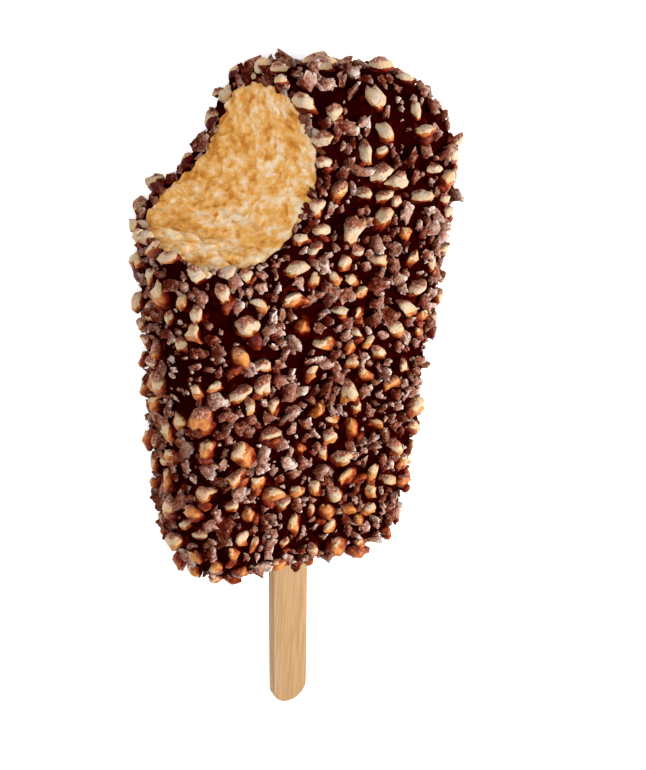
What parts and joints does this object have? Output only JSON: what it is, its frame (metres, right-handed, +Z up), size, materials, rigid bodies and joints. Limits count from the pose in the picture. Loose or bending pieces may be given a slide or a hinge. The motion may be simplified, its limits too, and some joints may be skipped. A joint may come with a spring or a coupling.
{
  "type": "ice cream bar",
  "caption": "Tapered bar of caramel ice cream on a flat wooden stick, dipped in dark chocolate with chopped nuts and crumbs, with a bite gone from one top corner, lying on its back.",
  "frame": {"origin": "on the surface that the bar lies on, on the flat spot under the middle of the coated bar", "axes": "+Y along the bar from the stick end to the top end, +Z up out of the bar's front face, +X across the bar, so the bite is at the -X +Y corner"},
  "size_m": [0.0624, 0.1385, 0.0295],
  "materials": {
    "ice_cream": "rough bitten caramel ice cream, golden tan with paler frosted ridges",
    "chocolate": "dark chocolate, nearly black, with a soft gloss",
    "nuts": "chopped roasted nuts, cream to golden, redder where they sink into the chocolate",
    "crumbs": "dusty brown chocolate biscuit crumbs",
    "birch": "bare pale birch with fine straight grain, unprinted"
  },
  "bodies": {
    "root": {"ice_cream": "ice_cream", "chocolate_coat": "chocolate", "stick": "birch"}
  },
  "joints": []
}
